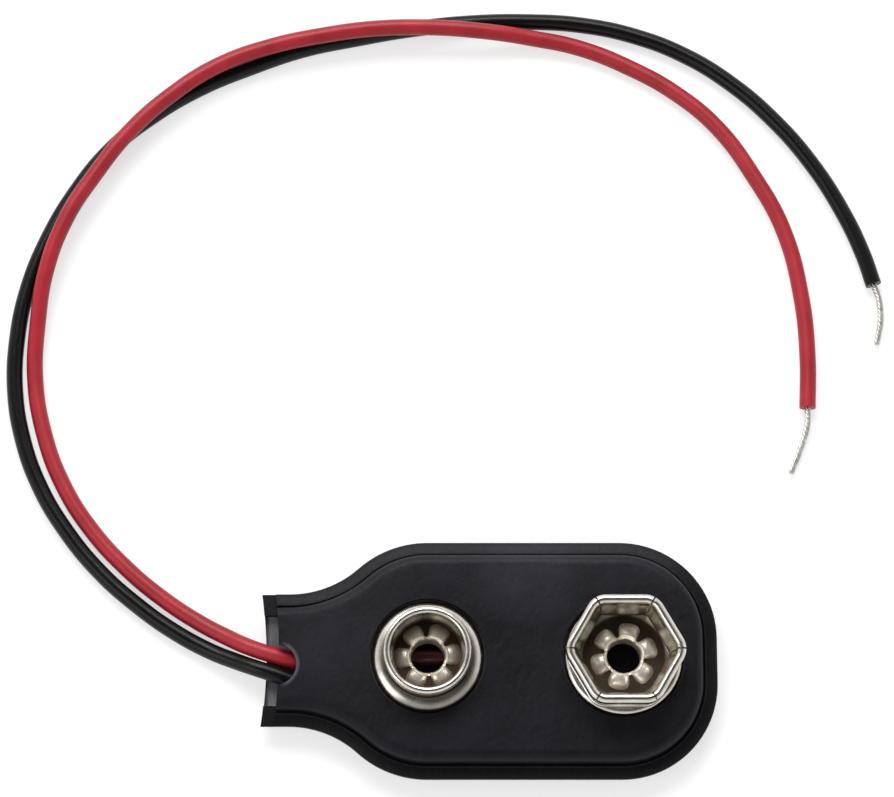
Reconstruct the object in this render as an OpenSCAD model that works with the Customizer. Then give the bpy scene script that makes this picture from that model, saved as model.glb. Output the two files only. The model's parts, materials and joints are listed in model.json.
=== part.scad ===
// Battery snap connector: a welded vinyl cover, a round stud, a hexagonal socket and two leads.
// It lies on its back. The origin is on the back face, midway between the two contacts.
// +X runs from the stud to the socket, and +Z points out of the face.

/* [Cover] */
// Width over the welded border
cover_w = 15.6; // [15.2:0.1:18]
// Distance from the middle of the contacts to the round end
end_reach = 12.5; // [12.2:0.1:14]
// Radius of the two corners of the round end
end_r = 6.3; // [5.5:0.1:7]
// Distance from the middle of the contacts to the mouth
mouth_reach = 17.2; // [16.8:0.1:20]
// Width of the neck at the mouth
neck_w = 8.7; // [8:0.1:10]
// Length of the straight sides of the neck
neck_l = 1.8; // [1:0.1:2.4]
// Length of the double curve between neck and body
shoulder_l = 9; // [8.4:0.1:9.6]
// Width of the welded border
seam_w = 0.95; // [0.7:0.05:1.1]
// Thickness of each vinyl sheet
vinyl_t = 0.4; // [0.3:0.05:0.5]
// Outer radius of the edge between the walls and the faces
edge_r = 0.7; // [0.6:0.05:0.9]
// Outer height of the cover at the mouth
mouth_h = 2.1; // [2:0.05:2.6]
// Hollow of the mouth's curved edge
mouth_sag = 0.3; // [0.1:0.05:0.6]
// How far the back sheet runs on past the front sheet at the mouth
lip_l = 0.9; // [0.5:0.1:1.2]
// Diameter of the round notch over the leads
notch_d = 3; // [2.6:0.1:3.6]
// Room for the leads between the back sheet and the eyelets
lead_room = 1.2; // [1.2:0.05:1.6]

/* [Contacts] */
// Distance between the centres of the two contacts
contact_pitch = 12.7; // [12.5:0.1:13]
// Thickness of the contacts' sheet brass
brass_t = 0.25; // [0.2:0.01:0.28]
// Diameter of the stud over its rolled rim
stud_d = 5.7; // [5.5:0.05:5.9]
// Height of the stud above the board
stud_h = 2.7; // [2.3:0.1:3.2]
// Height of the straight band on each rolled rim
rim_band = 0.4; // [0.2:0.05:0.6]
// Width across flats of the socket's opening
socket_af = 5.9; // [5.7:0.05:6]
// Corner radius of the socket's opening
socket_corner_r = 1.5; // [1.3:0.05:1.7]
// Height of the socket above the board
socket_h = 3.3; // [2.9:0.1:3.6]
// Width of the socket's folded collar
collar_w = 0.55; // [0.5:0.05:0.6]
// How far the walls draw in below their rims
waist = 0.15; // [0.05:0.05:0.2]
// Diameter of the stud's round flange
stud_flange_d = 7.3; // [7:0.05:7.6]
// Diameter of the socket's round flange
socket_flange_d = 7.8; // [7.7:0.05:8]
// Height of the flanges' domed edge
flange_h = 0.45; // [0.4:0.05:0.6]
// Width of the slits that part the socket's wall into spring fingers
slit_w = 0.2; // [0.15:0.05:0.3]
// Height above the board at which the slits begin
slit_from = 1.6; // [1:0.1:2]
// Gap round each flange in the front sheet
flange_gap = 0.15; // [0.05:0.05:0.2]

/* [Board, eyelets and tags] */
// Thickness of the fibre board
board_t = 0.8; // [0.6:0.05:1.2]
// How far the board reaches past the stud's centre, towards the mouth
board_tail = 4; // [3.8:0.1:4.4]
// Gap between the board and the cover
board_gap = 0.1; // [0.05:0.05:0.3]
// Bore of the eyelets
eyelet_bore = 2.2; // [1.8:0.05:2.4]
// Wall of the eyelets
eyelet_t = 0.2; // [0.15:0.01:0.25]
// Clearance between an eyelet and the holes that it goes through
eyelet_gap = 0.04; // [0.02:0.01:0.08]
// Diameter over the clinched petals
petal_d = 4.2; // [4:0.05:4.3]
// Height of the petals above the contact's floor
petal_h = 0.3; // [0.26:0.01:0.4]
// Number of petals
petal_count = 6; // [5:1:8]
// Diameter of the eyelets' heads
head_d = 4; // [3.6:0.1:4.4]
// Thickness of the solder tags
tag_t = 0.2; // [0.15:0.01:0.3]
// Diameter of the solder tags' round end
tag_d = 4.4; // [4.2:0.1:5]
// Width of the solder tags' tail
tag_w = 1.6; // [1.2:0.1:2]
// Length of the tail from the eyelet's centre
tag_l = 3.8; // [3.4:0.1:3.9]

/* [Leads] */
// Outer diameter of the insulated leads
lead_d = 1.1; // [0.9:0.05:1.2]
// Diameter of the tinned conductors
wire_d = 0.45; // [0.3:0.05:0.6]
// Length of the conductors inside the cover
strip_l = 2.8; // [2.4:0.1:3.2]
// Diameter of the solder joints where they meet the tags
solder_d = 1.7; // [1.4:0.1:1.9]
// Height of the solder joints
solder_h = 0.8; // [0.7:0.05:0.9]

/* [Hidden] */
$fn = 64;

// Heights of the stack, from the back sheet upwards
cover_h = 2 * vinyl_t + lead_room + eyelet_t + tag_t + board_t;
weld_z = cover_h / 2;
head_z = vinyl_t + lead_room;
tag_z = head_z + eyelet_t;
board_z = tag_z + tag_t;
board_top = board_z + board_t;
floor_z = board_top + brass_t;

// Plan of the cover, which keeps its full height for a short run past the board
full_run = 1;
stud_x = -contact_pitch / 2;
socket_x = contact_pitch / 2;
mouth_x = -mouth_reach;
neck_y = neck_w / 2;
body_y = cover_w / 2;
shoulder_x = mouth_x + neck_l;
body_x = shoulder_x + shoulder_l;
shoulder_step = body_y - neck_y;
shoulder_r = (shoulder_l * shoulder_l + shoulder_step * shoulder_step) / (4 * shoulder_step);
shoulder_a = asin(shoulder_l / (2 * shoulder_r));
end_x = end_reach - end_r;
board_x = stud_x - board_tail;
full_x = board_x - full_run;
mouth_r = (neck_y * neck_y + mouth_sag * mouth_sag) / (2 * mouth_sag);
notch_y = -0.4;
shoulder_steps = 6;
overcut = 1;

// Hexagon of the socket's corner centres, on which its wall is swept
hex_apothem = socket_af / 2 - socket_corner_r;
hex_side = hex_apothem / cos(30);
eyelet_r = eyelet_bore / 2 + eyelet_t;
rivet_r = eyelet_r + eyelet_gap;

// The eyelets' tubes run on a little way into their rolled petals
roll_lap = 0.04;

// The conductors lie level under the tags, clear of the back sheet
wire_z = 1.3;
stud_wire_y = -1.3;
stud_wire_x = stud_x - tag_l - 1.2;
socket_wire_x = socket_x - tag_l - 0.7;

// Routes of the leads' centrelines, from the tags to the cut ends
black_route = [[-11.35, -1.3, 1.3], [-13, -1.3, 1.3], [-14.8, -1.3, 1.45], [-16.4, -1.1, 1.6],
    [-17.6, -0.7, 1.5], [-19, -0.1, 1.05], [-20.6, 0.7, 0.65], [-23, 2.1, 0.55], [-25.4, 3.8, 0.55],
    [-28, 6.1, 0.55], [-30.4, 9, 0.55], [-32.2, 12, 0.55], [-33.4, 15.2, 0.55], [-34, 18.4, 0.55],
    [-34, 22, 0.55], [-33.4, 25.6, 0.55], [-32.2, 29, 0.55], [-30.4, 32.4, 0.55], [-28, 35.6, 0.55],
    [-25.2, 38, 0.55], [-22, 40, 0.55], [-18.6, 41.5, 0.55], [-15, 42.8, 0.55], [-11.4, 43.6, 0.55],
    [-7.6, 44.3, 0.55], [-3.6, 44.75, 0.55], [0.4, 44.85, 0.55], [4.2, 44.6, 0.55], [7.8, 43.8, 0.55],
    [11.2, 42.4, 0.55], [14.4, 40.3, 0.55], [17.3, 37.6, 0.55], [19.7, 34.6, 0.55], [21.7, 31.2, 0.55],
    [23, 28.2, 0.55], [23.7, 25.9, 0.55]];
red_route = [[1.85, 0, 1.3], [0, 0, 1.3], [-2.4, 0.1, 1.1], [-4.6, 0.3, 1], [-7.2, 0.3, 1],
    [-9.6, 0.3, 1], [-12, 0.3, 1.2], [-14.4, 0.3, 1.45], [-16.4, 0.35, 1.6], [-18, 0.9, 1.4],
    [-19.6, 1.7, 0.95], [-21.4, 2.7, 0.62], [-23.8, 4.3, 0.55], [-26.2, 6.3, 0.55], [-28.6, 8.9, 0.55],
    [-30.6, 12, 0.55], [-32, 15.6, 0.55], [-32.7, 19.4, 0.55], [-32.6, 23.2, 0.85], [-32.1, 26.6, 1.4],
    [-30.8, 30.3, 1.65], [-29, 33.3, 1.7], [-26.8, 36.3, 1.75], [-24, 39, 1.75], [-20.8, 41.2, 1.7],
    [-17.2, 42.6, 1.7], [-13.6, 43.4, 1.75], [-10, 43.9, 1.75], [-6.2, 44, 1.7], [-2.4, 43.8, 1.45],
    [0.8, 43.5, 0.9], [4, 42.9, 0.6], [7.4, 41.5, 0.55], [10.6, 39.6, 0.55], [13.4, 37.1, 0.55],
    [15.8, 33.6, 0.55], [17.7, 29.8, 0.55], [18.8, 25, 0.55], [19.1, 20.8, 0.55], [19, 17.3, 0.55]];
black_bare_route = [[23.7, 25.9, 0.55], [24.05, 24.75, 0.55], [24.1, 23.4, 0.4], [23.8, 21.8, 0.25]];
red_bare_route = [[19, 17.3, 0.55], [18.97, 16.25, 0.55], [18.5, 14.6, 0.4], [17.8, 12.9, 0.25]];

function clamped(t) = min(1, max(0, t));
function eased(t) = t * t * (3 - 2 * t);

// Share of the full height that the cover has at x: it slopes down to the mouth
function cover_share(x) =
    let (low = mouth_h / cover_h)
    low + (1 - low) * eased(clamped((x - mouth_x) / (full_x - mouth_x)));

function arc_points(centre, r, from, to, steps) =
    [for (k = [0:steps]) let (a = from + (to - from) * k / steps) centre + r * [cos(a), sin(a)]];

// One side of the cover's plan, drawn in by an inset, from beyond the mouth to the round end
function side_points(inset) = concat(
    [for (k = [0:3]) [mouth_x - overcut + (neck_l + overcut) * k / 4, neck_y - inset]],
    arc_points([shoulder_x, neck_y + shoulder_r], shoulder_r + inset, -90, -90 + shoulder_a,
        shoulder_steps),
    arc_points([body_x, body_y - shoulder_r], shoulder_r - inset,
        90 + shoulder_a * (1 - 1 / shoulder_steps), 90, shoulder_steps - 1),
    arc_points([end_x, body_y - end_r], end_r - inset, 90, 0, 9));

// The whole plan as one ring: one side out, and its mirror image back
function plan_ring(inset) =
    let (side = side_points(inset), last = len(side) - 1)
    concat(side, [for (k = [0:last]) [side[last - k][0], -side[last - k][1]]]);

function unit(v) = v / norm(v);

// Direction of a route at point k
function heading(route, k) =
    unit(route[min(k + 1, len(route) - 1)] - route[max(k - 1, 0)]);

// Plan of the cover with true arcs, drawn in by an inset
module cover_plan(inset = 0) {
    split_x = shoulder_x + shoulder_l * (shoulder_r + inset) / (2 * shoulder_r);
    for (side = [0, 1]) mirror([0, side]) {
        difference() {
            translate([mouth_x, 0]) square([split_x - mouth_x, neck_y + shoulder_r]);
            translate([mouth_x - overcut, neck_y - inset])
                square([neck_l + overcut, shoulder_r + overcut]);
            translate([shoulder_x, neck_y + shoulder_r]) circle(shoulder_r + inset);
        }
        intersection() {
            translate([split_x, 0]) square([body_x - split_x, body_y - inset]);
            union() {
                translate([split_x, 0]) square([body_x - split_x, max(0.01, body_y - shoulder_r)]);
                translate([body_x, body_y - shoulder_r]) circle(shoulder_r - inset);
            }
        }
        translate([body_x, 0]) square([end_x - body_x, body_y - inset]);
        translate([end_x, 0]) square([end_r - inset, body_y - end_r]);
        intersection() {
            translate([end_x, 0]) square([end_r, body_y]);
            translate([end_x, body_y - end_r]) circle(end_r - inset);
        }
    }
}

// Raised form of one sheet over the weld plane at z = 0, drawn in by the sheet's thickness for
// its inside: walls at the border, a round edge and a face that slopes down to the mouth
module pouch(skin) {
    full = cover_h / 2 - skin;
    r = edge_r - skin;
    steps = 5;
    levels = concat([[0, skin > 0 ? -0.1 : 0]],
        [for (k = [0:steps]) let (a = 90 * k / steps) [r * (1 - cos(a)), full - r + r * sin(a)]]);
    count = len(plan_ring(0));
    half = count / 2;
    points = [for (level = levels) for (p = plan_ring(seam_w + skin + level[0]))
        let (height = cover_share(p[0]) * cover_h / 2 - skin)
        [p[0], p[1], level[1] < 0 ? level[1] : level[1] / full * height]];
    top = (len(levels) - 1) * count;
    faces = concat(
        [for (j = [0:len(levels) - 2]) for (i = [0:count - 1]) let (n = (i + 1) % count)
            [j * count + i, j * count + n, (j + 1) * count + n, (j + 1) * count + i]],
        [for (i = [0:half - 2]) [top + i, top + i + 1, top + count - 2 - i, top + count - 1 - i]],
        [for (i = [0:half - 2]) [count - 1 - i, count - 2 - i, i + 1, i]]);
    polyhedron(points, faces, convexity = 4);
}

// One vinyl sheet over the weld plane: flat border and hollow raised form
module sheet() {
    difference() {
        union() {
            linear_extrude(vinyl_t) cover_plan();
            pouch(0);
        }
        pouch(vinyl_t);
    }
}

// Curved cut at the mouth, set back from the cover's end
module mouth_cut(set_back) {
    translate([mouth_x + mouth_sag + set_back - mouth_r, 0, -overcut])
        cylinder(h = cover_h + 2 * overcut, r = mouth_r, $fn = 128);
}

module front_cover() {
    color([0.09, 0.09, 0.11]) difference() {
        translate([0, 0, weld_z]) sheet();
        for (hole = [[stud_x, stud_flange_d], [socket_x, socket_flange_d]])
            translate([hole[0], 0, weld_z]) cylinder(h = cover_h, r = hole[1] / 2 + flange_gap);
        mouth_cut(lip_l);
        translate([mouth_x + mouth_sag + lip_l, notch_y, weld_z - overcut])
            cylinder(h = cover_h, d = notch_d);
    }
}

module back_cover() {
    color([0.07, 0.07, 0.09]) difference() {
        translate([0, 0, weld_z]) mirror([0, 0, 1]) sheet();
        mouth_cut(0);
    }
}

module insulator_board() {
    color([0.16, 0.14, 0.13]) translate([0, 0, board_z]) linear_extrude(board_t) difference() {
        intersection() {
            cover_plan(seam_w + edge_r + board_gap);
            translate([board_x, -body_y]) square([end_reach - board_x, cover_w]);
        }
        for (x = [stud_x, socket_x]) translate([x, 0]) circle(rivet_r);
    }
}

// Section of a folded wall, as a loop of [distance, height]: a waist of doubled sheet under a
// rolled rim that reaches from rim_in to rim_out, with a fillet where it meets the flange
function wall_loop(rim_in, rim_out, height) =
    let (
        r = (rim_out - rim_in) / 2,
        middle = rim_in + r,
        band_top = height - r,
        band_low = band_top - rim_band,
        neck_in = rim_in - waist,
        neck_out = rim_out - 2 * waist,
        under = acos((neck_out - middle) / r))
    concat(
        [[neck_in, brass_t / 2], [neck_in, band_low - 3 * waist], [rim_in, band_low]],
        arc_points([middle, band_top], r, 180, 0, 8),
        arc_points([middle, band_low], r, 0, -under, 4),
        arc_points([neck_out + waist, flange_h + waist], waist, 180, 270, 4),
        [[neck_out + waist, flange_h - brass_t / 2], [neck_out, brass_t / 2]]);

// Round foot of a contact: a floor to clinch on, and a flange that domes down to the board
module foot(floor_r, flange_from, dome_from, flange_to) {
    reach = flange_to - dome_from;
    dome_r = (reach * reach + flange_h * flange_h) / (2 * flange_h);
    rotate_extrude() {
        translate([rivet_r, 0]) square([floor_r - rivet_r, brass_t]);
        translate([flange_from, flange_h - brass_t]) square([dome_from - flange_from, brass_t]);
        intersection() {
            translate([dome_from, flange_h - dome_r]) difference() {
                circle(dome_r);
                circle(dome_r - brass_t);
            }
            translate([dome_from, 0]) square([reach, flange_h]);
        }
    }
}

module stud_contact() {
    rim_in = stud_d / 2 - 2 * brass_t;
    neck_out = stud_d / 2 - 2 * waist;
    color([0.78, 0.76, 0.72]) translate([stud_x, 0, board_top]) {
        foot(neck_out + waist / 2, neck_out - waist / 2, neck_out + waist, stud_flange_d / 2);
        rotate_extrude() polygon(wall_loop(rim_in, stud_d / 2, stud_h));
    }
}

// One ring of the socket's wall: a hexagon with corners on X, rounded by the given radius
function hex_ring(r) =
    [for (corner = [0:60:300]) for (a = [-30:10:30])
        hex_side * [cos(corner), sin(corner)] + r * [cos(corner + a), sin(corner + a)]];

// Wall of the socket: the folded section swept round the rounded hexagon, slit at its corners
module socket_wall() {
    loop = wall_loop(socket_corner_r, socket_corner_r + collar_w, socket_h);
    rings = [for (p = loop) [for (q = hex_ring(p[0])) [q[0], q[1], p[1]]]];
    count = len(rings[0]);
    last = len(loop);
    faces = [for (j = [0:last - 1]) for (i = [0:count - 1])
        let (n = (i + 1) % count, up = (j + 1) % last)
        [j * count + i, j * count + n, up * count + n, up * count + i]];
    difference() {
        polyhedron([for (ring = rings) each ring], faces, convexity = 6);
        for (corner = [0:60:300]) rotate(corner)
            translate([hex_side, -slit_w / 2, slit_from]) cube([socket_flange_d, slit_w, socket_h]);
    }
}

module socket_contact() {
    neck_out = socket_corner_r + collar_w - 2 * waist;
    color([0.78, 0.76, 0.72]) translate([socket_x, 0, board_top]) {
        foot(hex_side + neck_out, hex_apothem + neck_out - waist / 2, socket_flange_d / 2 - flange_h,
            socket_flange_d / 2);
        socket_wall();
    }
}

// Tubular eyelet: a flat head under the tag, a tube, and petals clinched over the contact's floor
module eyelet() {
    bore_r = eyelet_bore / 2;
    petal_r = petal_d / 2;
    lobe_at = 0.66 * petal_r;
    rotate_extrude() {
        translate([bore_r, head_z]) square([head_d / 2 - bore_r, eyelet_t]);
        translate([bore_r, head_z]) square([eyelet_t, floor_z + roll_lap - head_z]);
    }
    intersection() {
        rotate_extrude() translate([0, floor_z]) {
            intersection() {
                union() {
                    for (r = [bore_r + petal_h, petal_r - petal_h]) translate([r, 0]) difference() {
                        circle(petal_h);
                        circle(petal_h - eyelet_t);
                    }
                }
                union() {
                    translate([bore_r, 0]) square(petal_h);
                    translate([petal_r - petal_h, 0]) square(petal_h);
                }
            }
            translate([bore_r + petal_h, petal_h - eyelet_t])
                square([petal_r - bore_r - 2 * petal_h, eyelet_t]);
        }
        union() {
            translate([0, 0, floor_z]) cylinder(h = petal_h, r = eyelet_r);
            for (k = [0:petal_count - 1]) rotate((k + 0.55) * 360 / petal_count)
                translate([lobe_at, 0, floor_z]) cylinder(h = petal_h, r = petal_r - lobe_at);
        }
    }
}

module stud_eyelet() {
    color([0.82, 0.79, 0.74]) translate([stud_x, 0, 0]) eyelet();
}

module socket_eyelet() {
    color([0.82, 0.79, 0.74]) translate([socket_x, 0, 0]) eyelet();
}

// Solder tag: a round end on the eyelet and a tail towards the mouth
module tag(tail_y) {
    translate([0, 0, tag_z]) linear_extrude(tag_t) difference() {
        union() {
            circle(d = tag_d);
            translate([-tag_l + tag_w / 2, tail_y - tag_w / 2]) square([tag_l - tag_w / 2, tag_w]);
            translate([-tag_l + tag_w / 2, tail_y]) circle(d = tag_w);
        }
        circle(rivet_r);
    }
}

module stud_tag() {
    color([0.75, 0.66, 0.38]) translate([stud_x, 0, 0]) tag(stud_wire_y);
}

module socket_tag() {
    color([0.75, 0.66, 0.38]) translate([socket_x, 0, 0]) tag(0);
}

// Domed solder joint under the tag, round the conductor
module solder(wire_y) {
    r = (solder_d * solder_d / 4 + solder_h * solder_h) / (2 * solder_h);
    difference() {
        translate([-tag_l + solder_d / 2, wire_y, tag_z - solder_h + r]) sphere(r);
        translate([-tag_l - r, wire_y - 2 * r, tag_z]) cube(4 * r);
        translate([-tag_l - r, wire_y, wire_z]) rotate([0, 90, 0]) cylinder(h = 4 * r, d = wire_d);
    }
}

module stud_solder() {
    color([0.7, 0.7, 0.71]) translate([stud_x, 0, 0]) solder(stud_wire_y);
}

module socket_solder() {
    color([0.7, 0.7, 0.71]) translate([socket_x, 0, 0]) solder(0);
}

// Straight stripped end of a conductor, level under its tag
module inner_end(x, y) {
    color([0.8, 0.79, 0.77]) translate([x, y, wire_z]) rotate([0, 90, 0])
        cylinder(h = strip_l, d = wire_d);
}

module black_inner_end() {
    inner_end(stud_wire_x, stud_wire_y);
}

module red_inner_end() {
    inner_end(socket_wire_x, 0);
}

// Plain tube along a route, with eight sides
module tube(route, d) {
    sides = 8;
    last = len(route) - 1;
    points = [for (k = [0:last]) let (
            ahead = heading(route, k),
            across = unit(cross(ahead, [0, 0, 1])),
            up = cross(across, ahead))
        for (s = [0:sides - 1]) let (a = 360 * s / sides)
            route[k] + d / 2 * (cos(a) * across + sin(a) * up)];
    faces = concat(
        [[for (s = [0:sides - 1]) s]],
        [for (k = [0:last - 1]) for (s = [0:sides - 1]) let (n = (s + 1) % sides)
            [k * sides + s, (k + 1) * sides + s, (k + 1) * sides + n, k * sides + n]],
        [[for (s = [0:sides - 1]) last * sides + sides - 1 - s]]);
    polyhedron(points, faces, convexity = 6);
}

module black_lead() {
    color([0.06, 0.06, 0.06]) tube(black_route, lead_d);
}

module red_lead() {
    color([0.76, 0.16, 0.2]) tube(red_route, lead_d);
}

module black_bare_end() {
    color([0.8, 0.79, 0.77]) tube(black_bare_route, wire_d);
}

module red_bare_end() {
    color([0.8, 0.79, 0.77]) tube(red_bare_route, wire_d);
}

front_cover();
back_cover();
insulator_board();
stud_contact();
socket_contact();
stud_eyelet();
socket_eyelet();
stud_tag();
socket_tag();
stud_solder();
socket_solder();
black_inner_end();
red_inner_end();
black_lead();
red_lead();
black_bare_end();
red_bare_end();
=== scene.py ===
import bmesh
import bpy
import json
import math
from mathutils import Matrix, Vector


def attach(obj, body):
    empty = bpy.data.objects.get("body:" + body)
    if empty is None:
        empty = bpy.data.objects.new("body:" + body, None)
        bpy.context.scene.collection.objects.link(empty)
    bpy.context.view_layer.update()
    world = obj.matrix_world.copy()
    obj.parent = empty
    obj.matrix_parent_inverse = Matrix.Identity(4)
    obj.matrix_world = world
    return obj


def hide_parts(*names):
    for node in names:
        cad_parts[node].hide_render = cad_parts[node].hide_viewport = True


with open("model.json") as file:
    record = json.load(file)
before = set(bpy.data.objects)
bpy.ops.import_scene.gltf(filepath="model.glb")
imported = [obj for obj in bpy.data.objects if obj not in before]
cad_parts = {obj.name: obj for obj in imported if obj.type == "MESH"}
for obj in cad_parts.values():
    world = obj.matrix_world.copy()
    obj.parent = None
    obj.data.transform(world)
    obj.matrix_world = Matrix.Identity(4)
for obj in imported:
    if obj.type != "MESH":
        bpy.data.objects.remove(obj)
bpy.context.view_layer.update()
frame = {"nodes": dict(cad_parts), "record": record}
nodes = frame["nodes"]
mm = 0.001


# ---- camera
cameraView = {
    "aim": (-5.1, 18.1, 0),  # floor point at the middle of the picture, in mm
    "distance": 220,
    "tilt": 15,  # degrees from straight down
    "lens": 132.1,
    "sensor": 36,
}


def addCamera():
    data = bpy.data.cameras.new("camera")
    data.lens = cameraView["lens"]
    data.sensor_width = cameraView["sensor"]
    data.sensor_fit = "HORIZONTAL"
    data.clip_start = 0.01
    data.clip_end = 5
    camera = bpy.data.objects.new("camera", data)
    tilt = math.radians(cameraView["tilt"])
    back = Vector((0, -math.sin(tilt), math.cos(tilt)))
    camera.location = (Vector(cameraView["aim"]) + back * cameraView["distance"]) * mm
    camera.rotation_euler = (tilt, 0, 0)
    bpy.context.scene.collection.objects.link(camera)
    bpy.context.scene.camera = camera


addCamera()
bpy.context.scene.view_settings.view_transform = "Standard"
print("camera set")


# ---- shader helpers: a socket that does sums, and a sheet that adds nodes
class Value:
    def __init__(self, sheet, socket):
        self.sheet = sheet
        self.socket = socket

    def sums(self, operation, *others):
        return self.sheet.node("ShaderNodeMath", {"operation": operation}, [self, *others])

    def __add__(self, other):
        return self.sums("ADD", other)

    def __sub__(self, other):
        return self.sums("SUBTRACT", other)

    def __mul__(self, other):
        return self.sums("MULTIPLY", other)

    def __truediv__(self, other):
        return self.sums("DIVIDE", other)

    def __pow__(self, other):
        return self.sums("POWER", other)

    def __rsub__(self, other):
        return self.sheet.node("ShaderNodeMath", {"operation": "SUBTRACT"}, [other, self])

    # 0 below the low value, 1 above the high one, smooth in between
    def between(self, low, high):
        return self.sheet.node("ShaderNodeMapRange", {"interpolation_type": "SMOOTHSTEP"}, [self, low, high])

    __radd__ = __add__
    __rmul__ = __mul__


class Sheet:
    def __init__(self, name, world=False):
        self.material = (bpy.data.worlds if world else bpy.data.materials).new(name)
        self.material.use_nodes = True
        self.tree = self.material.node_tree
        self.shader = self.tree.nodes["Background" if world else "Principled BSDF"]
        self.place = self.node("ShaderNodeTexCoord", {}, [], "Generated" if world else "Object")
        self.x, self.y, self.z = [
            self.node("ShaderNodeSeparateXYZ", {}, [self.place], axis) / (1 if world else mm) for axis in range(3)]

    def node(self, kind, settings, inputs, output=0):
        made = self.tree.nodes.new(kind)
        for name, value in settings.items():
            if name == "stops":
                ramp = made.color_ramp
                while len(ramp.elements) < len(value):
                    ramp.elements.new(0.5)
                for stop, (position, color) in zip(ramp.elements, value):
                    stop.position = position
                    stop.color = (*color, 1)
            else:
                setattr(made, name, value)
        pairs = inputs.items() if isinstance(inputs, dict) else enumerate(inputs)
        for name, value in pairs:
            if isinstance(value, Value):
                self.tree.links.new(value.socket, made.inputs[name])
            else:
                made.inputs[name].default_value = value
        return Value(self, made.outputs[output])

    def noise(self, size, detail=2, rough=0.5, place=None, distortion=0):
        return self.node("ShaderNodeTexNoise", {}, {
            "Vector": place or self.place, "Scale": 1 / (size * mm), "Detail": detail,
            "Roughness": rough, "Distortion": distortion})

    def stretched(self, scale, turn=(0, 0, 0)):
        return self.node("ShaderNodeMapping", {}, {
            "Vector": self.place, "Scale": scale, "Rotation": turn})

    def ramp(self, factor, stops):
        return self.node("ShaderNodeValToRGB", {"stops": stops}, [factor])

    def blend(self, factor, first, second):
        first, second = [(*color, 1) if isinstance(color, tuple) else color for color in (first, second)]
        return self.node("ShaderNodeMix", {"data_type": "RGBA"}, {0: factor, 6: first, 7: second}, 2)

    # 1 at a point of the plan, fading to 0 at the reaches
    def spot(self, x, y, reachX, reachY):
        far = ((self.x - x) / reachX) ** 2 + ((self.y - y) / reachY) ** 2
        return 1 - far.between(0, 1)

    def bump(self, height, depth, strength=1):
        return self.node("ShaderNodeBump", {}, {
            "Strength": strength, "Distance": depth * mm, "Height": height}, "Normal")

    def finish(self, **inputs):
        for name, value in inputs.items():
            socket = self.shader.inputs[name.replace("_", " ")]
            if isinstance(value, Value):
                self.tree.links.new(value.socket, socket)
            else:
                socket.default_value = value
        return self.material


def grey(value):
    return (value, value, value)


# ---- finishes
vinylLook = {
    "dark": (0.0042, 0.004, 0.0066),
    "light": (0.0092, 0.0087, 0.0135),
    # the next two are the tones of the painted sheen and of the painted shade on the border; the inner side's tone
    # also serves the painted highlight at the notch
    "paintedSheen": (0.026, 0.0255, 0.032),
    "deep": (0.0012, 0.0012, 0.002),
    "inside": (0.17, 0.166, 0.18),
    "grain": 0.34,
    "wave": 2.6,
    "crease": 0.62,
}


# black sheet with a leathery grain, a painted sheen along its far side, a painted highlight on the notch's edge and,
# for the border, painted shade along the -y side and round the right end
def vinyl(name, edge):
    look = vinylLook
    sheet = Sheet(name)
    grain = sheet.noise(look["grain"], 3, 0.6)
    wave = sheet.noise(look["wave"], 2, 0.5)
    crease = sheet.noise(look["crease"], 4, 0.65, sheet.stretched((1, 0.45, 1), (0, 0, 0.5)), 1.2)
    tone = grain * 0.3 + wave * 0.5 + crease * 0.2
    plain = sheet.ramp(tone, [(0.35, look["dark"]), (0.7, look["light"])])
    # painted sheen: a paler patch along the far side, between the contacts and by the mouth's shoulder
    paintedSheenMask = sheet.spot(0.3, 5.4, 4.5, 4.2) * 0.55 + sheet.y.between(3.4, 7.4) * 0.5
    paintedSheenMask = paintedSheenMask + sheet.spot(-11.5, 1.6, 5, 4) * 0.4
    color = sheet.blend(paintedSheenMask * (0.45 + wave * 0.7), plain, look["paintedSheen"])
    # painted highlight: a pale line along the cut edge at the notch's right end
    rim = (sheet.x + 16.2) ** 2 + (sheet.y + 0.45) ** 2
    scuffAndNotchHighlight = (1 - rim.between(1.85, 2.7)) * sheet.x.between(-16, -15.3) * 0.5
    color = sheet.blend(scuffAndNotchHighlight, color, look["inside"])
    if edge:
        # painted shade: the border goes almost black along the -y side and round the right end
        paintedShade = ((0 - sheet.y).between(-1, 3) + sheet.x.between(8, 11.5)).between(0, 1)
        color = sheet.blend(paintedShade * 0.95, color, look["deep"])
    height = grain * 0.5 + crease * 1.3 + wave * 1.8
    return sheet.finish(
        Base_Color=color,
        Roughness=0.36 + tone * 0.26,
        Specular_IOR_Level=0.18,
        Normal=sheet.bump(height, 0.06, 0.6))


# the sheet's bare inner side, scuffed pale at the mouth and dark along the cut
def vinylInside(name):
    look = vinylLook
    sheet = Sheet(name)
    scuffAndNotchHighlight = sheet.noise(0.5, 3, 0.65, sheet.stretched((1, 0.4, 1)))
    pale = sheet.x.between(-16.95, -16.6) * (0.45 + scuffAndNotchHighlight * 0.9)
    return sheet.finish(
        Base_Color=sheet.blend(pale, look["light"], look["inside"]),
        Roughness=0.45 + scuffAndNotchHighlight * 0.2,
        Specular_IOR_Level=0.3,
        Normal=sheet.bump(scuffAndNotchHighlight, 0.03, 0.4))


metalLook = {
    "bright": (0.74, 0.71, 0.655),
    "warm": (0.6, 0.56, 0.49),
    # tones of the painted shade in the contacts' hollows and of the painted dark reflection on the stud's flange
    "paintedRecessShade": (0.085, 0.058, 0.038),
    "paintedDarkReflection": (0.12, 0.12, 0.108),
}
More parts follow.
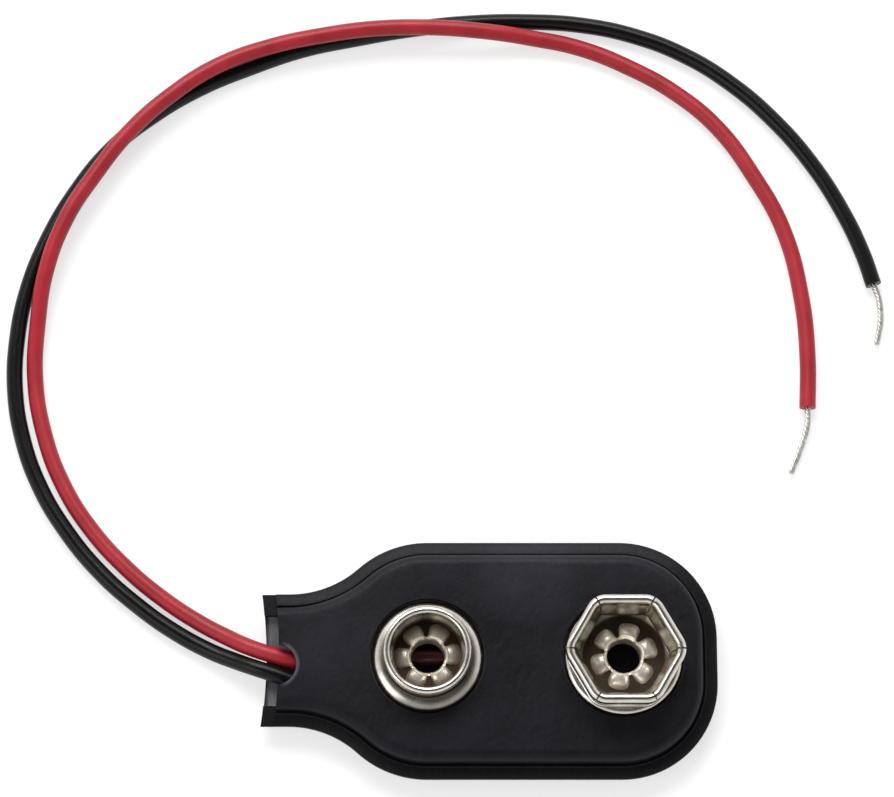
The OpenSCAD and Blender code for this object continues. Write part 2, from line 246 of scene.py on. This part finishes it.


# bright plate with cloudy patches, brushed lines and pits; on the contacts, painted shade in dull brown low in the
# cups and under the stud's rim, and a painted dark reflection along the stud's flange
def plating(name, bright, warm, roughness, recessShadeTone=None, metallic=1.0):
    sheet = Sheet(name)
    cloud = sheet.noise(1.1, 3, 0.6)
    brushed = sheet.noise(0.35, 4, 0.7, sheet.stretched((1, 1, 6)))
    pits = sheet.noise(0.12, 2, 0.5)
    color = sheet.ramp(cloud, [(0.35, warm), (0.65, bright)])
    dull = roughness + cloud * 0.1 + pits * 0.06
    if recessShadeTone:
        # painted shade in dull brown, low inside both cups
        across = sheet.node("ShaderNodeMath", {"operation": "ABSOLUTE"}, [sheet.x]) - 6.35
        inside = 1 - (across ** 2 + sheet.y ** 2).between(6.6, 8.4)
        low = 1 - sheet.z.between(3.1, 4.9)
        # painted shade on the stud's flange under its rim, stronger toward +y
        neck = (1 - (across ** 2 + sheet.y ** 2).between(8.6, 10.8)) * (1 - sheet.z.between(3.7, 4.5))
        neck = neck * (0 - sheet.x).between(0, 1) * (0.35 + sheet.y.between(-2.6, -1) * 0.4)
        paintedRecessShade = (inside * low * (0.75 + cloud * 0.4) + neck).between(0, 1)
        # painted dark reflection: the stud's flange turns dull grey along its -y side, apart from the left
        paintedDarkReflection = (across ** 2 + sheet.y ** 2).between(9, 13) * (0 - sheet.x).between(0, 1)
        paintedDarkReflection = paintedDarkReflection * (0 - sheet.y).between(0.6, 2.4) * (0 - across).between(-3, -1.2)
        color = sheet.blend(paintedRecessShade, sheet.blend(paintedDarkReflection * 0.95, color, metalLook["paintedDarkReflection"]), recessShadeTone)
        dull = dull + paintedRecessShade * 0.14 + paintedDarkReflection * 0.12
    return sheet.finish(
        Base_Color=color,
        Metallic=metallic,
        Roughness=dull,
        Normal=sheet.bump(brushed + pits * 0.4, 0.012, 0.35))


def tinned(name):
    sheet = Sheet(name)
    cloud = sheet.noise(0.4, 3, 0.6)
    return sheet.finish(
        Base_Color=sheet.ramp(cloud, [(0.3, (0.42, 0.4, 0.37)), (0.7, (0.75, 0.73, 0.7))]),
        Metallic=1.0,
        Roughness=0.22 + cloud * 0.2,
        Normal=sheet.bump(cloud, 0.03, 0.5))


# plastic skin, with painted shade, almost black, where the lead runs inside the cover
def insulation(name, deep, light, roughness, gloss=0.5):
    sheet = Sheet(name)
    cloud = sheet.noise(2.2, 2, 0.5)
    skin = sheet.noise(0.25, 3, 0.6)
    color = sheet.ramp(cloud, [(0.3, deep), (0.7, light)])
    # painted shade: the lead goes almost black inside the cover
    paintedShade = (0 - sheet.y).between(-4, -3) * sheet.x.between(-14.6, -13.4)
    return sheet.finish(
        Base_Color=sheet.blend(paintedShade * 0.9, color, (0.006, 0.003, 0.003)),
        Roughness=roughness + skin * 0.1,
        Specular_IOR_Level=gloss,
        Normal=sheet.bump(skin + cloud * 2, 0.02, 0.4))


# almost black board: partly the board's own colour, partly painted shade for the gap round the contacts' flanges
def fibre(name):
    sheet = Sheet(name)
    threads = sheet.noise(0.5, 4, 0.6, sheet.stretched((1, 5, 1)))
    return sheet.finish(
        Base_Color=sheet.ramp(threads, [(0.3, (0.012, 0.011, 0.011)), (0.7, (0.03, 0.027, 0.026))]),
        Roughness=0.55 + threads * 0.2,
        Normal=sheet.bump(threads, 0.03, 0.5))


finishes = {
    "black_vinyl": vinyl("blackVinyl", False),
    "vinylBorder": vinyl("vinylBorder", True),
    "vinylInside": vinylInside("vinylInside"),
    "contact_plating": plating("contactPlating", metalLook["bright"], metalLook["warm"], 0.16, metalLook["paintedRecessShade"]),
    "eyelet_plating": plating("eyeletPlating", (0.93, 0.88, 0.79), (0.8, 0.73, 0.6), 0.3, None, 0.76),
    "tag_brass": plating("tagBrass", (0.72, 0.6, 0.36), (0.55, 0.43, 0.22), 0.28),
    "solder": plating("solderGrey", (0.6, 0.6, 0.61), (0.45, 0.45, 0.46), 0.3),
    "tinned_wire": tinned("tinnedWire"),
    "black_insulation": insulation("blackInsulation", grey(0.002), grey(0.005), 0.24, 0.22),
    "red_insulation": insulation("redInsulation", (0.34, 0.007, 0.016), (0.47, 0.015, 0.03), 0.36, 0.42),
    "fibre_board": fibre("fibreBoard"),
}


def dress(piece, finish):
    piece.data.materials.clear()
    piece.data.materials.append(finishes[finish])


def joinIn(piece, slot, *replaced):
    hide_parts(*replaced)
    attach(piece, "root")


for entry in frame["record"]["subparts"]:
    dress(nodes[entry["node"]], entry["material_slot"])
print("finishes made")


# ---- leads
leads = {
    "black": {
        "points": [
            (-11.35, -1.3, 1.3), (-13, -1.4, 1.3), (-14.8, -1.35, 1.45), (-16.4, -0.88, 1.6),
            (-17.6, -0.48, 1.53), (-19, 0.08, 1.05), (-20.6, 0.78, 0.65), (-23, 2.1, 0.55),
            (-25.4, 3.8, 0.55), (-28, 6.1, 0.55), (-30.4, 9, 0.55), (-32.2, 12, 0.55),
            (-33.4, 15.2, 0.55), (-34, 18.4, 0.55), (-34, 22, 0.55), (-33.4, 25.6, 0.55),
            (-32.2, 29, 0.55), (-30.4, 32.4, 0.55), (-28, 35.6, 0.55), (-25.2, 38, 0.55),
            (-22, 40, 0.55), (-18.6, 41.5, 0.55), (-15, 42.8, 0.55), (-11.4, 43.6, 0.55),
            (-7.6, 44.3, 0.55), (-3.6, 44.75, 0.55), (0.4, 44.85, 0.55), (4.2, 44.6, 0.55),
            (7.8, 43.8, 0.55), (11.2, 42.4, 0.55), (14.4, 40.3, 0.55), (17.3, 37.6, 0.55),
            (19.7, 34.6, 0.55), (21.7, 31.2, 0.55), (23, 28.2, 0.55), (23.7, 25.9, 0.55)],
        "bare": [(23.7, 25.9, 0.55), (24.05, 24.75, 0.55), (24.1, 23.4, 0.4), (23.8, 21.8, 0.25)],
        "length": 114.6,
    },
    "red": {
        "points": [
            (1.85, 0, 1.3), (0, 0, 1.3), (-2.4, 0.1, 1.1), (-4.6, 0.3, 1),
            (-7.2, 0.3, 1), (-9.6, 0.3, 1), (-12, 0.1, 1.2), (-14.4, -0.05, 1.45),
            (-16.4, 0.35, 1.6), (-18, 0.9, 1.45), (-19.6, 1.7, 0.95), (-21.4, 2.7, 0.62),
            (-23.8, 4.3, 0.55), (-26.2, 6.3, 0.55), (-28.6, 8.9, 0.55), (-30.6, 12, 0.55),
            (-32, 15.6, 0.55), (-32.7, 19.4, 0.55), (-32.6, 23.2, 0.85), (-32.1, 26.6, 1.4),
            (-30.8, 30.3, 1.65), (-29, 33.3, 1.7), (-26.8, 36.3, 1.75), (-24, 39, 1.75),
            (-20.8, 41.2, 1.7), (-17.2, 42.6, 1.7), (-13.6, 43.4, 1.75), (-10, 43.9, 1.75),
            (-6.2, 44, 1.7), (-2.4, 43.8, 1.45), (0.8, 43.5, 0.9), (4, 42.9, 0.6),
            (7.4, 41.5, 0.55), (10.6, 39.6, 0.55), (13.4, 37.1, 0.55), (15.8, 33.6, 0.55),
            (17.7, 29.8, 0.55), (18.8, 25, 0.55), (19.1, 20.8, 0.55), (19, 17.3, 0.55)],
        "bare": [(19, 17.3, 0.55), (18.97, 16.25, 0.55), (18.5, 14.6, 0.4), (17.8, 12.9, 0.25)],
        "length": 128.7,
    },
}
strandSettings = {"count": 6, "radius": 0.08, "spread": 0.145, "twist": 2.4, "core": 0.15, "steps": 60}


def newCurve(name, splines, radius, sides):
    data = bpy.data.curves.new(name, "CURVE")
    data.dimensions = "3D"
    data.bevel_depth = radius * mm
    data.bevel_resolution = sides
    data.resolution_u = 8
    data.use_fill_caps = True
    for points in splines:
        spline = data.splines.new("BEZIER")
        spline.bezier_points.add(len(points) - 1)
        for knot, point in zip(spline.bezier_points, points):
            knot.co = Vector(point) * mm
            knot.handle_left_type = "AUTO"
            knot.handle_right_type = "AUTO"
    piece = bpy.data.objects.new(name, data)
    bpy.context.scene.collection.objects.link(piece)
    return piece


# point and direction at a share of a route's length, along straight runs
def alongRoute(points, share):
    points = [Vector(point) for point in points]
    runs = [(b - a).length for a, b in zip(points, points[1:])]
    left = share * sum(runs)
    for a, b, run in zip(points, points[1:], runs):
        if left <= run or b is points[-1]:
            return a.lerp(b, min(1, left / run)), (b - a).normalized()
        left -= run


# the tinned strands, twisted round each other
def twistedStrands(name, route):
    cfg = strandSettings
    smooth = newCurve(name + "Way", [route], 0, 0)
    smooth.data.resolution_u = 24
    way = smooth.to_mesh()
    line = [vertex.co / mm for vertex in way.vertices]
    bpy.data.objects.remove(smooth)
    splines = []
    for k in range(cfg["count"]):
        strand = []
        for step in range(cfg["steps"] + 1):
            share = step / cfg["steps"]
            point, ahead = alongRoute(line, share)
            across = ahead.cross(Vector((0, 0, 1))).normalized()
            up = across.cross(ahead)
            turn = math.tau * (k / cfg["count"] + cfg["twist"] * share)
            spread = cfg["spread"] * (1 - 0.2 * share)
            strand.append(point + spread * (math.cos(turn) * across + math.sin(turn) * up))
        splines.append(strand)
    strands = newCurve(name, splines, cfg["radius"], 3)
    strands.data.resolution_u = 2
    core = newCurve(name + "Core", [route], cfg["core"], 4)
    return strands, core


def makeLeads():
    for colour, cfg in leads.items():
        lead = newCurve(colour + "Lead", [cfg["points"]], 0.55, 6)
        dress(lead, colour + "_insulation")
        joinIn(lead, colour + "_insulation", colour + "_lead")
        strands, core = twistedStrands(colour + "Strands", cfg["bare"])
        for piece in (strands, core):
            dress(piece, "tinned_wire")
            joinIn(piece, "tinned_wire", colour + "_bare_end")
        [c * mm for c in cfg["points"][0]]
        cfg["length"] * mm


makeLeads()
print("leads made")


# ---- cover
cover = {
    "width": 15.6, "endReach": 12.5, "endRadius": 6.3, "mouthReach": 17.2, "neckWidth": 8.7,
    "neckLength": 1.8, "shoulderLength": 9, "seam": 0.95, "thickness": 0.4, "edge": 0.7,
    "height": 3.2, "mouthHeight": 2.1, "mouthSag": 0.3, "lip": 0.9, "notch": 2.7, "notchY": -0.45,
    "fullFrom": -11.35, "holes": ((-6.35, 3.78), (6.35, 4.0)),
    "cell": 0.6,  # spacing of the face's grid
    "sag": 0.05,  # depth of its soft hollows
}


def arcPoints(centreX, centreY, radius, start, end, steps):
    turns = [math.radians(start + (end - start) * k / steps) for k in range(steps + 1)]
    return [(centreX + radius * math.cos(a), centreY + radius * math.sin(a)) for a in turns]


# half of the plan, from beyond the mouth to the round end
def coverSide():
    c = cover
    neck, body = c["neckWidth"] / 2, c["width"] / 2
    step = body - neck
    radius = (c["shoulderLength"] ** 2 + step ** 2) / (4 * step)
    angle = math.degrees(math.asin(c["shoulderLength"] / (2 * radius)))
    shoulder = -c["mouthReach"] + c["neckLength"]
    bodyX = shoulder + c["shoulderLength"]
    endX = c["endReach"] - c["endRadius"]
    side = [(-c["mouthReach"] - 4, neck)] + [(-c["mouthReach"] + k * c["neckLength"] / 3, neck) for k in range(3)]
    side += arcPoints(shoulder, neck + radius, radius, -90, -90 + angle, 14)
    side += arcPoints(bodyX, body - radius, radius, 90 + angle * 13 / 14, 90, 13)
    side += [(bodyX + (endX - bodyX) * k / 8, body) for k in range(1, 8)]
    side += arcPoints(endX, body - c["endRadius"], c["endRadius"], 90, 0, 24)
    return side


def coverShare(x):
    c = cover
    low = c["mouthHeight"] / c["height"]
    t = min(1, max(0, (x * 1 + c["mouthReach"]) / (c["fullFrom"] + c["mouthReach"])))
    return low + (1 - low) * t * t * (3 - 2 * t)


# section of a form: distance in from the outline, height over the weld, share of the face's rise
def outerRings():
    c = cover
    t = c["thickness"]
    rings = [(0, t - 0.24, 0), (0.07, t - 0.16, 0), (0.45, t - 0.05, 0), (0.72, t, 0), (0.77, t + 0.08, 0),
             (0.82, t + 0.08, 0), (0.88, t - 0.06, 0), (0.93, t - 0.05, 0),
             (0.97, t + 0.1, 0), (0.98, 0, 0.45)]
    for k in range(9):
        turn = math.radians(90 * k / 8)
        rings.append((c["seam"] + 0.04 + c["edge"] * (1 - math.cos(turn)), 0, 0.56 + 0.44 * math.sin(turn)))
    return rings


def innerRings():
    c = cover
    start = c["seam"] + c["thickness"]
    rings = [(start, 0, 0.4)]
    for k in range(1, 5):
        turn = math.radians(90 * k / 4)
        rings.append((start + 0.3 * (1 - math.cos(turn)), 0, 0.75 + 0.25 * math.sin(turn)))
    return rings


def softness(x, y):
    c = cover
    hollow = math.exp(-((x - 0.3) / 3.2) ** 2 - ((y - 0.4) / 4.6) ** 2)
    ripple = 0.5 * math.sin(0.9 * x + 0.4 * y) + 0.5 * math.sin(0.55 * x - 0.8 * y + 1.3)
    return -c["sag"] * (hollow + 0.25 * ripple)


def newObject(name, mesh):
    piece = bpy.data.objects.new(name, mesh)
    bpy.context.scene.collection.objects.link(piece)
    return piece


def meshFrom(bm, name, sharp=35):
    mesh = bpy.data.meshes.new(name)
    bm.to_mesh(mesh)
    bm.free()
    for polygon in mesh.polygons:
        polygon.use_smooth = True
    mesh.set_sharp_from_angle(angle=math.radians(sharp))
    return mesh


def applyModifiers(piece, sharp=35):
    graph = bpy.context.evaluated_depsgraph_get()
    mesh = bpy.data.meshes.new_from_object(piece.evaluated_get(graph))
    piece.modifiers.clear()
    piece.data = mesh
    for polygon in mesh.polygons:
        polygon.use_smooth = True
    mesh.set_sharp_from_angle(angle=math.radians(sharp))


# a round cutter, used and then removed
def cutter(x, y, radius, low, high, segments=128):
    bm = bmesh.new()
    bmesh.ops.create_cone(bm, cap_ends=True, segments=segments, radius1=radius * mm, radius2=radius * mm,
                          depth=(high - low) * mm)
    bmesh.ops.translate(bm, verts=bm.verts, vec=Vector((x, y, (low + high) / 2)) * mm)
    return newObject("cutter", meshFrom(bm, "cutter"))


def cut(piece, cutters):
    for tool in cutters:
        boolean = piece.modifiers.new("cut", "BOOLEAN")
        boolean.operation = "DIFFERENCE"
        boolean.solver = "EXACT"
        boolean.object = tool
        bpy.context.view_layer.update()
        applyModifiers(piece)
        bpy.data.objects.remove(tool)


# a closed form over the weld: inset loops for border and wall, and a face sliced into a soft grid
def coverForm(rings, rise, base):
    c = cover
    side = coverSide()
    ring = side + [(x, -y) for x, y in reversed(side) if abs(y) > 0.001]
    bm = bmesh.new()
    face = bm.faces.new([bm.verts.new((x * mm, y * mm, 0)) for x, y in ring])
    bm.normal_update()
    if rings[0][0] > 0:
        rim = bmesh.ops.inset_region(bm, faces=[face], thickness=rings[0][0] * mm, use_boundary=True,
                                     use_even_offset=True)["faces"]
        bmesh.ops.delete(bm, geom=rim, context="FACES")
    raised = bmesh.ops.extrude_face_region(bm, geom=[face], use_keep_orig=True)["geom"]
    levels = {vert: (0, base, 0) for vert in face.verts}
    face = [item for item in raised if isinstance(item, bmesh.types.BMFace)][0]
    levels.update({vert: rings[0] for vert in face.verts})
    bmesh.ops.translate(bm, verts=face.verts, vec=(0, 0, mm))
    for nearer, level in zip(rings, rings[1:]):
        rim = bmesh.ops.inset_region(bm, faces=[face], thickness=(level[0] - nearer[0]) * mm,
                                     use_boundary=True, use_even_offset=True)["faces"]
        levels.update({vert: nearer for band in rim for vert in band.verts})
        levels.update({vert: level for vert in face.verts})
    inner = [face] + list(face.verts) + list(face.edges)
    for axis, reach in ((0, 22), (1, 8)):
        for k in range(-int(reach / c["cell"]), int(reach / c["cell"]) + 1):
            normal = Vector((1 - axis, axis, 0))
            inner = bmesh.ops.bisect_plane(bm, geom=inner, dist=1e-7, plane_co=normal * k * c["cell"] * mm,
                                           plane_no=normal)["geom"]
    for vert in bm.verts:
        x, y = vert.co.x / mm, vert.co.y / mm
        _, lift, part = levels.get(vert, rings[-1])
        full = coverShare(x) * c["height"] / 2 - rise
        soft = 0 if vert in levels else softness(x, y)
        vert.co.z = (lift + part * full + soft) * mm
    bmesh.ops.recalc_face_normals(bm, faces=bm.faces)
    return bm


# one vinyl sheet: its outer form with the inner form, the mouth and the holes cut out
def makeSheet(name, back):
    c = cover
    forms = [coverForm(outerRings(), 0, 0), coverForm(innerRings(), c["thickness"], -0.2)]
    for bm in forms:
        if back:
            bmesh.ops.scale(bm, verts=bm.verts, vec=(1, 1, -1))
        bmesh.ops.translate(bm, verts=bm.verts, vec=(0, 0, c["height"] / 2 * mm))
        bmesh.ops.recalc_face_normals(bm, faces=bm.faces)
    piece, hollow = [newObject(name, meshFrom(bm, name)) for bm in forms]
    mouthR = ((c["neckWidth"] / 2) ** 2 + c["mouthSag"] ** 2) / (2 * c["mouthSag"])
    setBack = 0 if back else c["lip"]
    mouthX = -c["mouthReach"] + c["mouthSag"] + setBack
    tools = [hollow, cutter(mouthX - mouthR, 0, mouthR, -2, 6, 512)]
    if not back:
        tools.append(cutter(mouthX - 0.2, c["notchY"], c["notch"] / 2, 1.5, 6))
        tools += [cutter(x, 0, radius, 1.5, 6) for x, radius in c["holes"]]
    cut(piece, tools)
    return piece


# the border by the weld takes the finish with painted shade on its -y side, and the sheet is bare inside the mouth
def dressSheet(piece):
    c = cover
    dress(piece, "black_vinyl")
    piece.data.materials.append(finishes["vinylBorder"])
    piece.data.materials.append(finishes["vinylInside"])
    weld = c["height"] / 2
    for polygon in piece.data.polygons:
        x, y, z = polygon.center / mm
        if abs(z - weld) < c["thickness"] + 0.02:
            polygon.material_index = 1
        if x < -15 and abs(y) < c["neckWidth"] / 2 - c["seam"] and z < weld and polygon.normal.z > 0.3:
            polygon.material_index = 2


front = makeSheet("frontSheet", False)
dressSheet(front)
joinIn(front, "black_vinyl", "front_cover")
rear = makeSheet("backSheet", True)
dressSheet(rear)
joinIn(rear, "black_vinyl", "back_cover")
print("cover made")


# ---- contacts
contact = {
    "boardTop": 2.8, "sheet": 0.25, "waist": 0.15, "band": 0.4, "flangeHeight": 0.45,
    "stud": {"x": -6.35, "radius": 2.85, "collar": 0.46, "height": 2.7, "flange": 3.68, "lean": 0.2},
    "socket": {"x": 6.35, "flats": 5.84, "corner": 0.78, "height": 3.3, "collar": 0.6, "flange": 3.9,
               "lean": 0.36, "slit": 0.1, "slitFrom": 1.6},
    "rivet": 1.34,
}


def arc(centre, radius, start, end, steps):
    return [(centre[0] + radius * math.cos(math.radians(start + (end - start) * k / steps)),
             centre[1] + radius * math.sin(math.radians(start + (end - start) * k / steps)))
            for k in range(steps + 1)]


# section of a folded wall, from the floor inside, over the rim and down to the flange
def wallSection(rimIn, rimOut, height, lean):
    c = contact
    r = (rimOut - rimIn) / 2
    top = height - r
    low = top - c["band"]
    neckOut = rimOut - 2 * c["waist"]
    under = math.degrees(math.acos((neckOut - rimIn - r) / r))
    return ([(rimIn - 0.6 * lean, c["sheet"] / 2), (rimIn - lean, 0.4 * low), (rimIn - 0.92 * lean, 0.58 * low),
             (rimIn - 0.15 * lean, 0.92 * low), (rimIn, low)]
            + arc((rimIn + r, top), r, 180, 0, 16)
            + arc((rimIn + r, low), r, 0, -under, 6)
            + arc((neckOut + c["waist"], c["flangeHeight"] + c["waist"]), c["waist"], 180, 270, 6)
            + [(neckOut + c["waist"], c["flangeHeight"] - c["sheet"] / 2), (neckOut, c["sheet"] / 2)])


def loopIn(bm, section, x=0):
    verts = [bm.verts.new(((x + r) * mm, 0, z * mm)) for r, z in section]
    return [bm.edges.new(pair) for pair in zip(verts, verts[1:] + verts[:1])]


def spinLoop(bm, section, steps):
    edges = loopIn(bm, section)
    geom = edges + list({vert for edge in edges for vert in edge.verts})
    bmesh.ops.spin(bm, geom=geom, cent=(0, 0, 0), axis=(0, 0, 1), angle=math.tau, steps=steps, use_merge=True)


# the floor that the eyelet clinches on, and the flange that domes down to the board
def footSections(floorR, flangeFrom, domeFrom, flangeTo):
    c = contact
    h, t = c["flangeHeight"], c["sheet"]
    reach = flangeTo - domeFrom
    r = (reach * reach + h * h) / (2 * h)
    centre = (domeFrom, h - r)
    low = math.degrees(math.asin((r - h) / r))
    lowIn = math.degrees(math.asin((r - h) / (r - t)))
    return [
        [(c["rivet"], 0), (floorR, 0), (floorR, t), (c["rivet"], t)],
        [(flangeFrom, h - t)] + arc(centre, r - t, 90, lowIn, 8) + arc(centre, r, low, 90, 14) + [(flangeFrom, h)],
    ]


def closeShells(bm, x):
    bmesh.ops.remove_doubles(bm, verts=bm.verts, dist=1e-7)
    bmesh.ops.recalc_face_normals(bm, faces=bm.faces)
    bmesh.ops.translate(bm, verts=bm.verts, vec=(x * mm, 0, contact["boardTop"] * mm))


def makeStud():
    c, s = contact, contact["stud"]
    neckOut = s["radius"] - 2 * c["waist"]
    bm = bmesh.new()
    spinLoop(bm, wallSection(s["radius"] - s["collar"], s["radius"], s["height"], s["lean"]), 128)
    for section in footSections(neckOut + c["waist"] / 2, neckOut - c["waist"] / 2, neckOut + c["waist"],
                                s["flange"]):
        spinLoop(bm, section, 128)
    closeShells(bm, s["x"])
    return newObject("studContact", meshFrom(bm, "studContact", 50))


# an upright blade through one corner of the socket, used to cut its slit
def slitBlade(distance, turn):
    c, s = contact, contact["socket"]
    bm = bmesh.new()
    bmesh.ops.create_cube(bm, size=1)
    bmesh.ops.scale(bm, verts=bm.verts, vec=Vector((4, s["slit"], s["height"])) * mm)
    bmesh.ops.translate(bm, verts=bm.verts, vec=Vector((distance + 2, 0, s["slitFrom"] + s["height"] / 2)) * mm)
    bmesh.ops.rotate(bm, verts=bm.verts, cent=(0, 0, 0), matrix=Matrix.Rotation(turn, 3, "Z"))
    bmesh.ops.translate(bm, verts=bm.verts, vec=(s["x"] * mm, 0, c["boardTop"] * mm))
    return newObject("blade", meshFrom(bm, "blade"))


# the socket's section turns round each corner and runs straight along each flat
def makeSocket():
    c, s = contact, contact["socket"]
    apothem = s["flats"] / 2 - s["corner"]
    side = apothem / math.cos(math.radians(30))
    bm = bmesh.new()
    section = wallSection(s["corner"], s["corner"] + s["collar"], s["height"], s["lean"])
    start = loopIn(bm, section, side)
    verts = list({vert for edge in start for vert in edge.verts})
    bmesh.ops.rotate(bm, verts=verts, cent=(side * mm, 0, 0), matrix=Matrix.Rotation(math.radians(-30), 3, "Z"))
    geom = verts + start
    for k in range(6):
        turn = math.radians(60 * k)
        corner = Vector((side * math.cos(turn), side * math.sin(turn), 0)) * mm
        after = Vector((side * math.cos(turn + math.pi / 3), side * math.sin(turn + math.pi / 3), 0)) * mm
        geom = bmesh.ops.spin(bm, geom=geom, cent=corner, axis=(0, 0, 1), angle=math.radians(60),
                              steps=12)["geom_last"]
        for _ in range(4):
            edges = [item for item in geom if isinstance(item, bmesh.types.BMEdge)]
            made = bmesh.ops.extrude_edge_only(bm, edges=edges)["geom"]
            geom = [item for item in made if not isinstance(item, bmesh.types.BMFace)]
            moved = [item for item in geom if isinstance(item, bmesh.types.BMVert)]
            bmesh.ops.translate(bm, verts=moved, vec=(after - corner) / 4)
    closeShells(bm, s["x"])
    piece = newObject("socketContact", meshFrom(bm, "socketContact", 50))
    cut(piece, [slitBlade(side, math.radians(60 * k)) for k in range(6)])
    neckOut = s["corner"] + s["collar"] - 2 * c["waist"]
    bm = bmesh.new()
    for section in footSections(side + neckOut, apothem + neckOut - c["waist"] / 2,
                                s["flange"] - c["flangeHeight"], s["flange"]):
        spinLoop(bm, section, 128)
    closeShells(bm, s["x"])
    bm.from_mesh(piece.data)
    piece.data = meshFrom(bm, "socketContact", 50)
    return piece


stud = makeStud()
dress(stud, "contact_plating")
joinIn(stud, "contact_plating", "stud_contact")
socket = makeSocket()
dress(socket, "contact_plating")
joinIn(socket, "contact_plating", "socket_contact")
print("contacts made")


# ---- eyelets
eyelet = {"bore": 1.1, "wall": 0.2, "head": 2.0, "headZ": 1.6, "floorZ": 3.05, "reach": 2.2, "rise": 0.4,
          "petals": 6, "width": 0.83, "slit": 1.28, "studTurn": 4, "socketTurn": 18}


# a spun rivet whose rolled edge is split into domed petals
def makeEyelet(name, x, turnBy):
    e = eyelet
    inner, outer, low, floor = e["bore"], e["bore"] + e["wall"], e["headZ"], e["floorZ"]
    crown = inner + 0.28
    dome = [(crown + (e["reach"] - crown) * k / 10, floor + e["rise"] * (1 - (k / 10) ** 2.2)) for k in range(1, 11)]
    roll = (
        [(inner, low), (inner, floor)] + arc((crown, floor), crown - inner, 175, 100, 5)
        + [(crown, floor + e["rise"])] + dome
        + [(e["reach"] - e["wall"], floor), (1.7, floor + 0.05), (1.5, floor + 0.05), (outer, floor),
           (outer, low + e["wall"]), (e["head"], low + e["wall"]), (e["head"], low)])
    bm = bmesh.new()
    spinLoop(bm, roll, 180)
    for vert in bm.verts:
        r = math.hypot(vert.co.x, vert.co.y) / mm
        z = vert.co.z / mm
        if z < floor - 0.01 or r < inner + 0.04:
            continue
        turn = math.degrees(math.atan2(vert.co.y, vert.co.x)) - turnBy
        aside = 2 * abs((turn * e["petals"] / 360 + 0.5) % 1 - 0.5) / e["width"]
        keep = math.sqrt(max(0, 1 - aside ** 4))
        far = e["slit"] + (r - e["slit"]) * keep if r > e["slit"] else r
        vert.co.x *= far / r
        vert.co.y *= far / r
        crest = max(0, 1 - aside * aside) ** 0.5
        vert.co.z = (floor + (z - floor) * (0.15 + 0.85 * crest)) * mm
    bmesh.ops.recalc_face_normals(bm, faces=bm.faces)
    bmesh.ops.translate(bm, verts=bm.verts, vec=(x * mm, 0, 0))
    piece = newObject(name, meshFrom(bm, name, 60))
    dress(piece, "eyelet_plating")
    return piece


for name in ("stud", "socket"):
    piece = makeEyelet(name + "Eyelet", contact[name]["x"], eyelet[name + "Turn"])
    joinIn(piece, "eyelet_plating", name + "_eyelet")
print("eyelets made")


# ---- floor, lamps and white ground
stage = {"size": 2.0, "floorTone": 0.5, "floorGlow": 0.62, "ambient": 0.45, "keyPower": 1.2, "fillPower": 0.35,
         "sky": [(0.0, grey(1)), (0.5, grey(1)), (0.76, grey(0.42)), (0.9, grey(0.08)), (1.0, grey(0.03))]}


# 1 for the rays that show the ground: the camera's, and those by way of metal and glass
def seenRays(sheet):
    rays = [sheet.node("ShaderNodeLightPath", {}, [], name)
            for name in ("Is Camera Ray", "Is Glossy Ray", "Is Transmission Ray")]
    return sheet.node("ShaderNodeMath", {"operation": "ADD", "use_clamp": True}, [rays[0] + rays[1], rays[2]])


def addFloor():
    bm = bmesh.new()
    bmesh.ops.create_grid(bm, x_segments=1, y_segments=1, size=stage["size"])
    floor = newObject("floor", meshFrom(bm, "floor"))
    sheet = Sheet("paleFloor")
    sheet.finish(Base_Color=(*grey(stage["floorTone"]), 1), Roughness=0.9, Specular_IOR_Level=0.1,
                 Emission_Color=(1, 1, 1, 1), Emission_Strength=seenRays(sheet) * stage["floorGlow"])
    floor.data.materials.append(sheet.material)


# white ground that dims overhead, where the camera stands, and plain light for the rest
def addWorld():
    sheet = Sheet("whiteGround", True)
    ground = sheet.ramp(sheet.z, stage["sky"])
    bpy.context.scene.world = sheet.finish(Color=sheet.blend(seenRays(sheet), grey(stage["ambient"]), ground))


def addLamp(name, place, aim, size, power):
    data = bpy.data.lights.new(name, "AREA")
    data.shape = "RECTANGLE"
    data.size, data.size_y = size
    data.energy = power
    lamp = bpy.data.objects.new(name, data)
    lamp.location = place
    lamp.rotation_euler = (Vector(aim) - Vector(place)).to_track_quat("-Z", "Y").to_euler()
    bpy.context.scene.collection.objects.link(lamp)


addFloor()
addWorld()
addLamp("keyLamp", (-0.05, 0.28, 0.32), (0, 0.01, 0), (0.3, 0.2), stage["keyPower"])
addLamp("fillLamp", (-0.3, -0.15, 0.35), (0, 0.01, 0), (0.25, 0.25), stage["fillPower"])
print("stage lit")
